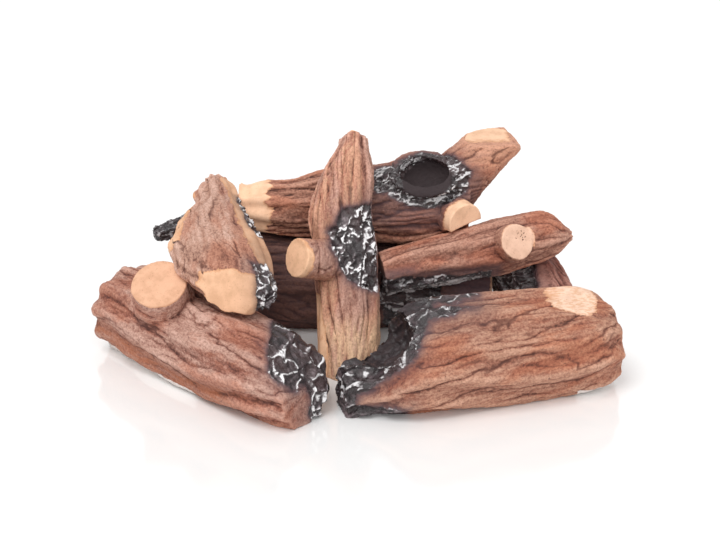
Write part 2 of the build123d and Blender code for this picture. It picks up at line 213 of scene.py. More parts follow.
class Casting:
    """One log: its skin as arrays, its own grain direction, and the marks that the paint follows."""

    def __init__(self, node, body, slot, start, end):
        self.node, self.body, self.slot = node, body, slot
        source = merged_copy(node)
        self.patches = flat_patches(source)
        rough_object = bpy.data.objects.new(node + "_source", source)
        bpy.context.collection.objects.link(rough_object)
        even = rough_object.modifiers.new("even_skin", "REMESH")
        even.mode = "VOXEL"
        even.voxel_size = SKIN
        settled = rough_object.evaluated_get(bpy.context.evaluated_depsgraph_get())
        self.mesh = bpy.data.meshes.new_from_object(settled)
        bpy.data.objects.remove(rough_object)
        self.points = self.read("co")
        self.x, self.y, self.z = self.points.T
        self.normals = self.read("normal")
        self.along_way = np.array(end) - np.array(start)
        length = np.linalg.norm(self.along_way)
        self.along_way /= length
        side_way = np.cross(self.along_way, (0, 0, 1))
        side_way /= np.linalg.norm(side_way)
        top_way = np.cross(side_way, self.along_way)
        self.ways = np.array([self.along_way, side_way, top_way])
        self.grain = (self.points - start) @ self.ways.T
        self.along = self.grain[:, 0] / length
        self.depth = np.zeros(len(self.points))
        self.marks = {}
        print(node, len(self.points), "points,", len(self.patches), "flat patches")

    def read(self, name):
        """One vector per point from the mesh."""
        values = np.empty(len(self.mesh.vertices) * 3)
        self.mesh.vertices.foreach_get(name, values)
        return values.reshape(-1, 3)

    def cut_at(self, place, skin=3 * MM, margin=1.35):
        """How surely a point lies on the saw cut nearest to a place: 1 in it, 0 one skin away.

        1 - the larger of height / skin and (distance aside - margin x radius) / skin + 1.
        """
        gaps = [np.linalg.norm(patch[0] - np.array(place)) for patch in self.patches]
        centre, facing, radius = self.patches[int(np.argmin(gaps))]
        away = self.points - centre
        height = away @ facing
        aside = np.linalg.norm(away - height[:, None] * facing, axis=1)
        return 1 - np.maximum(np.abs(height) / skin, (aside - radius * margin) / skin + 1)

    def blob(self, centre, radii):
        """Millimetres inside an egg: (1 - the length of offset / radii) x the mean radius.

        The radii lie along the grain, sideways and up.
        """
        offset = (self.points - np.array(centre)) @ self.ways.T
        reach = np.linalg.norm(offset / np.array(radii), axis=1)
        return (1 - reach) * np.mean(radii) / MM

    def outlined(self, corners, view=(0, 2), facing=(0, -1, 0)):
        """Millimetres inside a closed outline drawn on the log from one side, as on an elevation.

        A point is inside where a ray to the right crosses the outline an odd number of times.
        Where the skin turns away from the given side, the value falls, so the back stays out.
        """
        at = self.points[:, view] / MM
        corners = np.array(corners, dtype=float)
        nearest = np.full(len(at), 1e9)
        crossed = np.zeros(len(at), dtype=bool)
        for a, b in zip(corners, np.roll(corners, -1, axis=0)):
            run = b - a
            t = np.clip((at - a) @ run / (run @ run), 0, 1)
            nearest = np.minimum(nearest, np.linalg.norm(at - a - t[:, None] * run, axis=1))
            between = (a[1] > at[:, 1]) != (b[1] > at[:, 1])
            where = a[0] + (at[:, 1] - a[1]) * run[0] / (run[1] + 1e-12)
            crossed ^= between & (at[:, 0] < where)
        turned = 30 * (self.normals @ np.array(facing) + 0.25)
        return np.minimum(np.where(crossed, nearest, -nearest), turned)

    def beyond(self, place, facing):
        """Millimetres past a plane: offset . facing."""
        facing = np.array(facing) / np.linalg.norm(facing)
        return (self.points - np.array(place)) @ facing / MM

    def from_point(self, place):
        """Millimetres from a point."""
        return np.linalg.norm(self.points - np.array(place), axis=1) / MM

    def from_line(self, places):
        """Millimetres from a line drawn through places: the nearest of its straight parts."""
        nearest = np.full(len(self.points), 1e9)
        for a, b in zip(places, places[1:]):
            a, b = np.array(a), np.array(b)
            run = b - a
            t = np.clip((self.points - a) @ run / (run @ run), 0, 1)
            gap = np.linalg.norm(self.points - a - t[:, None] * run, axis=1)
            nearest = np.minimum(nearest, gap)
        return nearest / MM


# %% [markdown]
# ## Bark pressed into a log
# On this set the bark is long, wavy ridges with thin fissures between them, on a surface like
# rough plaster. The ridges are counted around the log: the angle around its axis, times their
# number, plus a slow noise that makes them wander, is a whole number in each fissure. Between
# two whole numbers the bark swells. Most of it is pressed inwards, and its crests rise by 1.4 mm
# at most, so the log keeps its CAD size.
# %% Ridges, fissures and plaster
MOST_SWELL = 1.4


def ridges(log, count, sway, seed):
    """Place between two fissures, 0 to 1: the fraction of angle / turn x count + sway noise."""
    own = log.grain / MM
    angle = np.arctan2(own[:, 1], own[:, 2])
    place = angle / (2 * math.pi) * count + sway * rough(own / np.array([130, 44, 44]), seed, 2)
    place += 0.16 * rough(own / np.array([26, 12, 12]), seed + 1, 2)
    return place - np.floor(place)


def press_bark(log, count, valleys, cracks, seed, calm=None, lumps=0.7):
    """Depth = valleys + small cracks + lumps + plaster, in millimetres.

    calm, from 0 to 1, keeps an area smooth. The log's ends are pressed less than its sides.
    """
    own = log.grain / MM
    spacing = 2 * math.pi * np.sqrt((own[:, 1:] ** 2).sum(1)).mean() / count
    main = ridges(log, count, 0.85, seed)
    swell = np.sin(math.pi * main ** 0.8) ** 0.65
    here = 0.35 + 0.65 * smooth(noise(own / np.array([75, 26, 26]), seed + 2), -0.35, 0.3)
    minor = ridges(log, 2 * count, 1.6, seed + 3)
    there = smooth(noise(own / np.array([42, 17, 17]), seed + 4), -0.05, 0.4)
    from_main = np.minimum(main, 1 - main) * spacing
    from_minor = np.minimum(minor, 1 - minor) * spacing / 2
    crack = (1 - smooth(from_minor, 0.4, 2.2)) * there
    lump = rough(own / np.array([21, 10, 10]), seed + 5, 2)
    plaster = rough(own / np.array([5.0, 3.6, 3.6]), seed + 6, 3)
    keep = 1.0 if calm is None else 1 - calm
    keep = keep * (1 - 0.7 * smooth(np.abs(log.normals @ log.along_way), 0.70, 0.92))
    pressed = valleys * here * (1 - swell) + cracks * crack + lumps * lump - 1.0
    log.depth += keep * pressed + (0.42 * keep + 0.06) * plaster
    log.marks["fissure"] = keep * np.maximum((1 - smooth(from_main, 0.2, 2.2)) * here, 0.75 * crack)
    print(log.node, "has ridges", round(float(spacing), 1), "mm apart")


def press_char(log, inside, plate, seed):
    """Inside a charred area: dented plates, each tilted its own way, with sharp crests between.

    Depth = dent + tilt + crumple, in millimetres, eased in over the edge of the area.
    """
    near = inside > -6
    gap = np.full(len(inside), FAR_AWAY)
    tilt = np.zeros(len(inside))
    own = log.grain[near] / MM
    bend = [rough(own / (0.9 * plate), seed + axis, 2) for axis in range(3)]
    bent = own + 0.3 * plate * np.column_stack(bend)
    shape = np.array([1.5, 1.0, 1.0]) * plate
    gap[near], tilt[near] = plates(bent / shape, seed)
    gap *= plate
    amount = smooth(inside, -2.5, 2.5)
    dent = smooth(gap, 0.0, 0.36 * plate)
    crumple = rough(log.grain / (0.34 * plate * MM), seed + 5, 2)
    facet = np.clip(0.24 * plate * tilt, -2.2, 2.2)
    log.depth = log.depth * (1 - 0.75 * amount) + amount * (1.7 * dent + facet + 0.45 * crumple + 0.4)
    log.marks["charred"] = inside
    log.marks["crack"] = np.where(near, gap, FAR_AWAY)
    log.marks["soot"] = smooth(inside, -9, 3) + 0.3 * smooth(inside, -30, -6)


def hump(distance, width):
    """exp(-(distance / width)^2): 1 at no distance, nearly 0 at twice the width."""
    return np.exp(-(distance / width) ** 2)


def clear_way(log, facing):
    """The side past which another log is drawn swells nowhere: deeper where the skin faces it."""
    log.depth += MOST_SWELL * smooth(log.normals @ np.array(facing), 0.0, 0.5)


def cut_line(log, places, width, depth):
    """A drawn crack: a hump of depth along a line that wanders a little."""
    wander = 1.2 * rough(log.points / (9 * MM), 77, 2)
    cut = hump(log.from_line(places) + wander, width)
    log.depth += depth * cut
    log.marks["fissure"] = np.maximum(log.marks["fissure"], smooth(cut, 0.25, 0.8))


# %% [markdown]
# ## Saw cuts and the raw underside
# The saw cuts are cast smooth and painted pale, with a ragged edge where the bark breaks off.
# The underside is never painted, because nobody sees it: it keeps the fibre's own off-white.
# Both are marked with a value that passes through zero at the edge, so that the paint can cut it
# sharply and unevenly there, finer than the mesh.
# %% Marks for pale wood and bare fibre


def mark_pale(log, *areas):
    """The strongest of several pale areas, with an edge that wavers."""
    log.marks["pale"] = np.max(areas, axis=0) + 0.22 * rough(log.points / (12 * MM), 61, 2)


def calm_on(log, *areas):
    """Where the bark stays away: 1 on a saw cut, 0 a little outside it."""
    return smooth(np.max(areas, axis=0) + 0.35 * noise(log.points / (9 * MM), 5), 0.0, 0.55)


def mark_bare(log, reach, here):
    """Bare fibre: a thin strip close to the hearth where the skin turns down and here is above 0."""
    low = (reach - log.z / MM) / 3
    down = (-log.normals[:, 2] - 0.12) * 4
    wander = 0.15 * rough(log.points / (14 * MM), 9, 2)
    log.marks["bare"] = np.clip(np.min([low, down, here], axis=0) + wander, -1, 1)


# %% [markdown]
# ## From a pressed skin to a finished piece
# A painter's dry brush touches what stands out from its surroundings. So the pressed skin is
# compared with itself smoothed, and the difference is its ridge mark. Where another log lies
# close, nothing may swell. Each casting then takes the place of its CAD node.
# %% Relief, touching logs and the finished casting
TOUCH_REACH = 3 * MM
RELIEF_WIDTH = 11 * MM
RIDGE_SPAN = 3.2
# The side the light comes from, for the painted highlights and painted shade on the char.
PAINTED_LIGHT_FROM = np.array((-0.25, -0.35, 0.90))
MARKS = ("ridge", "fissure", "charred", "crack", "soot", "pale", "bare", "stain", "lit")
SURFACES = {}


def averaged(mesh, points, rounds):
    """Each point moved halfway to its neighbours' mean, several times: the form without relief."""
    edges = np.empty(len(mesh.edges) * 2, dtype=np.int32)
    mesh.edges.foreach_get("vertices", edges)
    a, b = edges.reshape(-1, 2).T
    count = np.bincount(a, minlength=len(points)) + np.bincount(b, minlength=len(points))
    for _ in range(rounds):
        total = np.column_stack([
            np.bincount(a, points[b, axis], len(points))
            + np.bincount(b, points[a, axis], len(points))
            for axis in range(3)])
        points = 0.5 * points + 0.5 * total / count[:, None]
    return points


def surface_of(node):
    """A search tree of a CAD node's triangles, made once."""
    if node not in SURFACES:
        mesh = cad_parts[node].data
        corners = [vertex.co[:] for vertex in mesh.vertices]
        faces = [tuple(face.vertices) for face in mesh.polygons]
        SURFACES[node] = BVHTree.FromPolygons(corners, faces)
    return SURFACES[node]


def near_others(log, reach):
    """1 where another log's CAD skin lies within reach, falling to 0 at twice that."""
    near = np.zeros(len(log.points))
    low, high = log.points.min(0) - 2 * reach, log.points.max(0) + 2 * reach
    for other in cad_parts:
        if other == log.node:
            continue
        box_low, box_high = (np.array(corner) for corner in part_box(other))
        if (box_low > high).any() or (box_high < low).any():
            continue
        surface = surface_of(other)
        in_box = (log.points > box_low - 2 * reach) & (log.points < box_high + 2 * reach)
        for row in np.nonzero(in_box.all(1))[0]:
            found = surface.find_nearest(log.points[row], 2 * reach)
            if found[3] is not None:
                near[row] = max(near[row], min(1, 2 - found[3] / reach))
    return near


def finish_log(log, material):
    """Press the skin in along its normals, write the marks, and take the node's place.

    ridge = 0.5 + height above the smoothed skin / span. lit = how far the relief turns a point
    towards the light, less unlit: it places the painted highlights and painted shade on the char.
    """
    touching = near_others(log, TOUCH_REACH)
    depth = np.maximum(log.depth, -MOST_SWELL)
    depth = np.where(depth < 0, depth * (1 - touching), depth)
    edge = smooth(log.z, 0.0, 1.5 * MM)
    moved = log.points - log.normals * (depth * edge * MM)[:, None]
    moved[:, 2] = np.maximum(moved[:, 2], log.z.min())
    rounds = int(round((RELIEF_WIDTH / SKIN) ** 2 / 2)) + 2
    height = ((moved - averaged(log.mesh, moved, rounds)) * log.normals).sum(1) / MM
    log.marks["ridge"] = np.clip(0.5 + height / RIDGE_SPAN + log.marks.get("brushed", 0.0), 0, 1)
    log.mesh.vertices.foreach_set("co", moved.ravel())
    log.mesh.update()
    turned = (log.read("normal") - log.normals) @ PAINTED_LIGHT_FROM
    log.marks["lit"] = turned - log.marks.get("unlit", 0.0)
    for name in MARKS:
        unmarked = OUTSIDE if name in ("charred", "pale", "bare") else 0.0
        values = log.marks.get(name, np.full(len(moved), unmarked))
        stored = log.mesh.attributes.new(name, "FLOAT", "POINT")
        stored.data.foreach_set("value", np.asarray(values, dtype=np.float32))
    stored = log.mesh.attributes.new("grain", "FLOAT_VECTOR", "POINT")
    stored.data.foreach_set("vector", np.asarray(log.grain, dtype=np.float32).ravel())
    log.mesh.polygons.foreach_set("use_smooth", np.ones(len(log.mesh.polygons), dtype=bool))
    log.mesh.materials.append(material)
    log.mesh.update()
    piece = bpy.data.objects.new(log.node + "_casting", log.mesh)
    bpy.context.collection.objects.link(piece)
    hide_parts(log.node)
    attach(piece, log.body)
    pressed = [round(float(limit), 1) for limit in (depth.min(), depth.max())]
    print(piece.name, "pressed by", pressed, "mm,", len(log.mesh.polygons), "faces")


# %% [markdown]
# ## The painter's layers
# A log is painted in layers: a mid brown all over, dark wash that stays in the fissures, a pale
# dry brush that only touches the ridges, soot sprayed softly, black char with ash on its edges,
# and pale wood on the saw cuts. On the char, painted highlights and a grey painted sheen go where
# its facets face the light, and painted shade where they turn away. The material has the same
# layers in the same order, and each log gets its own colours.
# %% Nodes for one log's paint


def linear(colour):
    """sRGB 0-255 to linear light: c / 12.92 below 0.04045, ((c + 0.055) / 1.055)^2.4 above."""
    part = np.array(colour) / 255.0
    value = np.where(part < 0.04045, part / 12.92, ((part + 0.055) / 1.055) ** 2.4)
    return (*value.tolist(), 1.0)


class Paint:
    """A material being mixed: short names for the nodes that its layers need."""

    def __init__(self, name):
        self.material = bpy.data.materials.new(name)
        self.material.use_nodes = True
        self.tree = self.material.node_tree
        self.surface = self.tree.nodes["Principled BSDF"]
        self.count = 0

    def node(self, kind, **settings):
        """A new node with its settings, placed twelve to a row."""
        made = self.tree.nodes.new(kind)
        for key, value in settings.items():
            setattr(made, key, value)
        made.location = (-260 * (1 + self.count % 12), 320 - 240 * (self.count // 12))
        self.count += 1
        return made

    def join(self, value, socket):
        """Link a socket, or set a plain number or colour."""
        if isinstance(value, bpy.types.NodeSocket):
            self.tree.links.new(value, socket)
        else:
            socket.default_value = value

    def mark(self, name):
        """A mark that the casting carries on its points."""
        return self.node("ShaderNodeAttribute", attribute_name=name).outputs["Fac"]

    def grain_at(self, scale):
        """The casting's own coordinates, scaled along, sideways and up."""
        own = self.node("ShaderNodeAttribute", attribute_name="grain").outputs["Vector"]
        mapping = self.node("ShaderNodeMapping")
        self.join(own, mapping.inputs["Vector"])
        mapping.inputs["Scale"].default_value = scale
        return mapping.outputs["Vector"]

    def noise(self, scale, detail=3.0, roughness=0.55):
        """Clouds that follow the grain: scale is how many fit into a metre, along and across."""
        cloud = self.node("ShaderNodeTexNoise")
        self.join(self.grain_at(scale), cloud.inputs["Vector"])
        cloud.inputs["Scale"].default_value = 1.0
        cloud.inputs["Detail"].default_value = detail
        cloud.inputs["Roughness"].default_value = roughness
        return cloud.outputs["Fac"]

    def sum(self, kind, a, b):
        """One step of arithmetic, such as ADD or MAXIMUM."""
        made = self.node("ShaderNodeMath", operation=kind)
        self.join(a, made.inputs[0])
        self.join(b, made.inputs[1])
        return made.outputs["Value"]

    def times(self, a, b):
        """a x b."""
        return self.sum("MULTIPLY", a, b)

    def step(self, value, low, high):
        """0 below low, 1 above high, eased between."""
        made = self.node("ShaderNodeMapRange", interpolation_type="SMOOTHSTEP")
        self.join(value, made.inputs["Value"])
        made.inputs["From Min"].default_value = low
        made.inputs["From Max"].default_value = high
        return made.outputs["Result"]

    def colours(self, value, stops):
        """A colour ramp with stops of (place, sRGB)."""
        ramp = self.node("ShaderNodeValToRGB")
        self.join(value, ramp.inputs["Fac"])
        marks = ramp.color_ramp.elements
        while len(marks) < len(stops):
            marks.new(0.5)
        for mark, (place, colour) in zip(marks, stops):
            mark.position = place
            mark.color = linear(colour)
        return ramp.outputs["Color"]

    def mix(self, factor, under, over, kind="MIX"):
        """One coat over another: under x (1 - factor) + over x factor."""
        made = self.node("ShaderNodeMix", data_type="RGBA", blend_type=kind)
        self.join(factor, made.inputs[0])
        self.join(under, made.inputs[6])
        self.join(over, made.inputs[7])
        return made.outputs[2]

    def blend(self, factor, a, b):
        """The same for plain numbers: a x (1 - factor) + b x factor."""
        made = self.node("ShaderNodeMix", data_type="FLOAT")
        self.join(factor, made.inputs[0])
        self.join(a, made.inputs[2])
        self.join(b, made.inputs[3])
        return made.outputs[0]


# %% [markdown]
# ## One log's paint
# Four browns of each log go from the dark wash to the dry brush. The other colours are the same
# on the whole set, because one painter used one row of pots. The edge of every layer is broken up
# by the same ragged noise, so that no edge looks drawn.
# %% The pots and the layers
SPECK_BROWN = (84, 44, 36)
FISSURE_BROWN = (88, 48, 38)
SOOT_GREY = (84, 63, 68)
WOOD_LINE = (222, 172, 134)
PORE_BROWN = (158, 100, 72)
CUT_EDGE = (206, 140, 96)
SMOKED_WOOD = (96, 70, 64)
WOOD_CRACK = (92, 60, 48)
WARM_CHAR = (78, 52, 50)
# Painted sheen: grey on char facets that face the light.
PAINTED_SHEEN_GREY = (150, 134, 138)
# Painted shade: black on char facets turned away from the light.
SHADED_FACET_BLACK = (48, 36, 38)
# White ash on the crests, and painted glints where the facets face the light.
ASH_AND_GLINT_WHITE = (248, 246, 247)


def log_paint(name, deep, middle, light, tint, stain=(196, 118, 72), pale=(246, 198, 164),
              ash_and_highlights=1.0, lines=0.0):
    """The layers from the mid brown up to the ash and the painted highlights on the char, for one
    log. ash_and_highlights sets how much of both. Colours are sRGB, 0 to 255.
    """
    paint = Paint(name)
    step, times, mix, mark = paint.step, paint.times, paint.mix, paint.mark
    ridge = mark("ridge")
    broad = paint.noise((8, 22, 22), 4, 0.6)
    streak = paint.noise((30, 210, 210), 4, 0.6)
    grit = paint.noise((330, 430, 430), 3, 0.75)
    ragged = paint.noise((150, 300, 300), 4, 0.65)
    uneven = paint.sum("SUBTRACT", ragged, 0.5)

    def broken(value, share):
        """A value plus a share of the ragged noise, so that its edge breaks up."""
        return paint.sum("ADD", value, times(uneven, share))

    level = paint.sum("ADD", ridge, times(paint.sum("SUBTRACT", streak, 0.5), 0.9))
    level = paint.sum("ADD", level, times(paint.sum("SUBTRACT", grit, 0.5), 0.6))
    brightest = [min(255, c + 20) for c in light]
    coat = paint.colours(level, [(0.08, deep), (0.36, middle), (0.66, light), (0.95, brightest)])
    tinted = times(step(broad, 0.44, 0.60), 0.6)
    coat = mix(tinted, coat, linear(tint), "SOFT_LIGHT")
    patch = step(broken(broad, 0.5), 0.50, 0.60)
    stained = paint.sum("MAXIMUM", mark("stain"), times(patch, 0.38))
    stained = times(stained, step(streak, 0.25, 0.62))
    coat = mix(times(stained, 0.85), coat, linear(stain))
    dots = paint.colours(grit, [
        (0.30, (128, 104, 96)), (0.45, (216, 206, 202)), (0.58, (255, 255, 255))])
    coat = mix(0.5, coat, dots, "MULTIPLY")
    specks = step(paint.noise((170, 230, 230), 3, 0.6), 0.645, 0.70)
    coat = mix(times(specks, 0.6), coat, linear(SPECK_BROWN))
    line = broken(mark("fissure"), 0.9)
    line = times(step(line, 0.40, 1.0), 0.6)
    coat = mix(line, coat, linear(FISSURE_BROWN))
    soot = times(mark("soot"), paint.blend(ragged, 0.45, 1.3))
    soot = paint.sum("MINIMUM", soot, 0.9)
    coat = mix(soot, coat, linear(SOOT_GREY))

    pale_edge = broken(mark("pale"), 1.3)
    on_pale = step(pale_edge, 0.0, 0.10)
    wood_lines = paint.noise((8, 400, 400), 2)
    pores = paint.noise((620, 620, 620), 2, 0.5)
    clouds = paint.noise((60, 60, 60), 3, 0.6)
    shaded = [c - 16 for c in pale]
    lifted = [min(255, c + 6) for c in pale]
    wood = paint.colours(clouds, [(0.35, shaded), (0.55, pale), (0.75, lifted)])
    for amount, colour in (
            (times(step(wood_lines, 0.52, 0.42), lines), WOOD_LINE),
            (times(step(pores, 0.64, 0.72), 0.5), PORE_BROWN),
            (times(step(pale_edge, 0.62, 0.06), 0.6), CUT_EDGE),
            (paint.sum("MINIMUM", times(soot, 0.7), 0.7), SMOKED_WOOD),
            (step(mark("fissure"), 0.3, 0.7), WOOD_CRACK)):
        wood = mix(amount, wood, linear(colour))
    coat = mix(on_pale, coat, wood)

    charred = broken(mark("charred"), 7.0)
    on_char = step(charred, -1.2, 1.2)
    black = paint.colours(paint.noise((70, 160, 160), 4, 0.6), [
        (0.25, (26, 20, 21)), (0.5, (46, 37, 39)), (0.8, (92, 76, 80))])
    warm = times(step(broad, 0.5, 0.64), 0.35)
    black = mix(warm, black, linear(WARM_CHAR))
    crack = broken(mark("crack"), 2.0)
    # Painted light on the char: lit says how far a facet turns to the light. Ash crests show on the
    # lit side, glints and a grey sheen are painted where facets face it, and painted shade where they
    # turn away.
    lit = broken(mark("lit"), 0.5)
    crest = times(step(crack, 1.5, 0.5), step(lit, -0.12, 0.10))
    glint = times(step(lit, 0.20, 0.34), step(crack, 4.5, 2.0))
    patchy = step(paint.noise((36, 48, 48), 3, 0.7), 0.42, 0.53)
    ash_and_highlight_cover = times(patchy, ash_and_highlights)
    ash_and_glints = times(paint.sum("MAXIMUM", crest, glint), ash_and_highlight_cover)
    painted_sheen = times(step(lit, -0.05, 0.4), times(ash_and_highlight_cover, 0.62))
    shaded_facets = step(lit, -0.35, -0.75)
    black = mix(painted_sheen, black, linear(PAINTED_SHEEN_GREY))
    black = mix(times(shaded_facets, 0.9), black, linear(SHADED_FACET_BLACK))
    black = mix(ash_and_glints, black, linear(ASH_AND_GLINT_WHITE))
    coat = mix(on_char, coat, black)

    bare_edge = broken(mark("bare"), 0.5)
    on_bare = step(bare_edge, 0.0, 0.08)
    fibre = paint.colours(grit, [(0.3, (198, 186, 178)), (0.6, (234, 226, 222))])
    coat = mix(on_bare, coat, fibre)
    paint.join(coat, paint.surface.inputs["Base Color"])

    dull = paint.blend(grit, 0.66, 0.9)
    shine = paint.blend(shaded_facets, paint.blend(ragged, 0.14, 0.42), 0.8)
    paint.join(paint.blend(on_char, dull, shine), paint.surface.inputs["Roughness"])
    bump = paint.node("ShaderNodeBump")
    bump.inputs["Distance"].default_value = 1.0 * MM
    bump.inputs["Strength"].default_value = 0.85
    plaster = paint.noise((300, 480, 480), 5, 0.65)
    fine = paint.sum("ADD", plaster, times(grit, 0.5))
    fine = times(fine, paint.blend(on_pale, 1.0, 0.35))
    paint.join(fine, bump.inputs["Height"])
    paint.join(bump.outputs["Normal"], paint.surface.inputs["Normal"])
    print(name, "has", len(paint.tree.nodes), "nodes")
    return paint.material


# %% [markdown]
# ## Front left log
# It lies on the hearth with a big sawn knot on its shoulder. Its paint is mauve where the dry
# brush passed and orange low down, and a healed ring with a pinhole lies beside the split log.
# The inner end is charred, because it lies in the flames.
# %% Front left log
front_left = Casting("front_left_log", "front_left", "front_left_ceramic",
                     (-0.296, 0.067, 0.064), (-0.050, -0.177, 0.045))
knot = front_left.cut_at((-0.2309, -0.0558, 0.1272), margin=1.1)
press_bark(front_left, count=13, valleys=3.0, cracks=0.6, seed=11,
           calm=calm_on(front_left, knot))
ring = front_left.from_point((-0.1741, -0.0897, 0.0981))
ring += 5.0 * rough(front_left.points / (12 * MM), 3, 2)
front_left.depth += 0.8 * hump(ring - 14, 3.4) - 0.9 * hump(ring, 9)
front_left.marks["brushed"] = 0.35 * hump(ring, 26) - 0.25 * hump(ring - 14, 3.5)
pinhole = front_left.from_point((-0.1690, -0.0971, 0.0951))
front_left.depth += 1.6 * hump(pinhole, 2.4)
fissures = front_left.marks["fissure"] * smooth(ring, 4, 16)
front_left.marks["fissure"] = np.maximum(fissures, hump(pinhole, 2.2))
BURNT_END = [(-103, 150), (-92, 97), (-94, 84), (-93, 73), (-82, 60), (-67, 52), (-52, 46),
             (-46, 28), (-44, 0), (-10, -10), (-10, 150)]
burnt_end = front_left.outlined(BURNT_END, facing=ALL_ROUND)
burnt_end += 5 * noise(front_left.points / (24 * MM), 21)
press_char(front_left, burnt_end, plate=22, seed=31)
belly = -front_left.grain[:, 2] / MM
belly += 10 * noise(front_left.grain / (np.array([60, 20, 20]) * MM), 20)
front_left.marks["stain"] = smooth(belly, 2, 30)
front_left.marks["stain"] *= 1 - 0.8 * smooth(front_left.x, -0.16, -0.11)
mark_pale(front_left, knot)
mark_bare(front_left, reach=11.5, here=(-0.186 - front_left.x) / 0.02)
finish_log(front_left, log_paint(
    "front_left_paint", (88, 50, 42), (151, 104, 89), (193, 152, 136), (170, 126, 110),
    stain=(164, 96, 63), pale=(226, 176, 143)))

# %% [markdown]
# ## Front right log
# The largest log in view has long, soft ridges. A hollow is burnt into its left shoulder, charred
# and nearly black inside with painted shade, with ash on the crests around it, and a pale facet
# with wood grain is sawn on its right shoulder.
# %% Front right log
front_right = Casting("front_right_log", "front_right", "front_right_ceramic",
                      (-0.017, -0.138, 0.042), (0.318, -0.034, 0.074))
SAWN_FACET = [(208, -40), (226, -68), (240, -92), (262, -90), (282, -86), (294, -74), (300, -40),
              (290, -10), (220, -10)]
facet = np.minimum(front_right.cut_at((0.2804, -0.0708, 0.1029), 6 * MM, 1.9),
                   front_right.outlined(SAWN_FACET, PLAN, FROM_ABOVE) / 8)
press_bark(front_right, count=19, valleys=2.8, cracks=0.6, seed=51,
           calm=calm_on(front_right, facet))
BURNT_SHOULDER = [(-30, 12), (-4, 24), (4, 30), (24, 40), (56, 63), (71, 78), (80, 92), (84, 103),
                  (92, 111), (104, 116), (122, 117), (140, 118), (152, 122), (146, 150), (-40, 150)]
burnt_arm = front_right.outlined(BURNT_SHOULDER, facing=ALL_ROUND)
burnt_tip = -front_right.beyond((0.004, -0.150, 0.03), (0.9, 0.4, -0.2))
burnt_sole = np.minimum(14 - front_right.z / MM, 62 - front_right.x / MM) + 3
burnt_hollow = np.minimum(front_right.blob((0.035, -0.070, 0.072), (0.080, 0.085, 0.060)),
                          (front_right.y + 0.151) / MM)
# Painted shade inside the burnt hollow: its char is darker there and shows few glints.
front_right.marks["unlit"] = 0.55 * smooth(burnt_hollow, 6, 16)
burnt = np.max([burnt_arm, burnt_hollow, burnt_tip, burnt_sole], axis=0)
press_char(front_right, burnt + 4 * noise(front_right.points / (22 * MM), 23), plate=16, seed=33)
front_right.marks["crack"] = np.where(front_right.z < 16 * MM, FAR_AWAY, front_right.marks["crack"])
mark_pale(front_right, facet)
mark_bare(front_right, reach=9, here=(front_right.x - 0.27) / 0.02)
clear_way(front_right, (0, 0, 1))
finish_log(front_right, log_paint(
    "front_right_paint", (92, 54, 42), (158, 105, 85), (191, 143, 119), (180, 126, 100),
    stain=(170, 110, 82), pale=(250, 212, 187), ash_and_highlights=0.8, lines=0.7))

# %% [markdown]
# ## Left split log
# A slab of split wood: greyer and pinker, with long cracks on its face, pale wood where the bark
# is gone along both edges, a wide sawn end, and char along parts of its right edge.
# %% Left split log
left_split = Casting("left_split_log", "left_split", "split_log_ceramic",
                     (-0.184, 0.153, 0.185), (-0.135, -0.108, 0.126))
sawn_end = np.maximum(left_split.cut_at((-0.1389, -0.0947, 0.1325), 6 * MM, 1.6),
                      left_split.cut_at((-0.1027, -0.1005, 0.1208), 6 * MM, 1.6))
RIGHT_SPLIT_EDGE = [(-172, 128), (-160, 100), (-155, 75), (-147, 45), (-138, 17), (-130, -10),
                    (-122, -30), (-115, -50), (-108, -64), (-70, -64), (-70, 150), (-170, 150)]
LEFT_SPLIT_EDGE = [(-204, 125), (-197, 67), (-202, 48), (-207, 27), (-209, -14), (-250, -14),
                   (-250, 130)]
right_edge = left_split.outlined(RIGHT_SPLIT_EDGE, PLAN, ALL_ROUND) / 8
left_edge = left_split.outlined(LEFT_SPLIT_EDGE, PLAN, ALL_ROUND) / 8
press_bark(left_split, count=9, valleys=1.5, cracks=0.5, seed=71,
           calm=calm_on(left_split, sawn_end, right_edge))
cut_line(left_split, [(-0.1671, 0.1075, 0.1902), (-0.155, 0.06, 0.182), (-0.1421, 0.0181, 0.1745)],
         width=1.6, depth=2.6)
cut_line(left_split, [(-0.1504, -0.0071, 0.1738), (-0.14, -0.03, 0.168), (-0.1318, -0.0603, 0.1623)],
         width=1.5, depth=2.2)
cut_line(left_split, [(-0.190, 0.060, 0.180), (-0.180, 0.0, 0.170), (-0.172, -0.05, 0.160)],
         width=1.4, depth=1.4)
BURNT_CORNER = [(-117, -66), (-113, -88), (-108, -125), (-60, -125), (-60, -56), (-98, -54)]
BURNT_SLIVER = [(-150, 102), (-146, 86), (-139, 62), (-132, 38), (-126, 18), (-60, 10), (-60, 104)]
burnt_edge = np.maximum(left_split.outlined(BURNT_CORNER, PLAN, ALL_ROUND),
                        left_split.outlined(BURNT_SLIVER, PLAN, ALL_ROUND))
burnt_edge += 3 * noise(left_split.points / (18 * MM), 24)
press_char(left_split, burnt_edge, plate=11, seed=34)
edge_soot = smooth(right_edge, -0.3, 0.4) * (0.75 - 0.5 * smooth(left_split.y, -0.05, 0.02))
left_split.marks["soot"] = np.maximum(left_split.marks["soot"], edge_soot)
left_split.marks["brushed"] = -0.22 * smooth(-0.02 - left_split.y, 0, 0.03)
mark_pale(left_split, sawn_end, np.minimum(right_edge, 0.6), np.minimum(left_edge, 0.85))
finish_log(left_split, log_paint(
    "left_split_paint", (124, 84, 70), (186, 142, 122), (208, 168, 150), (178, 132, 114),
    stain=(178, 124, 100), pale=(232, 184, 148)))

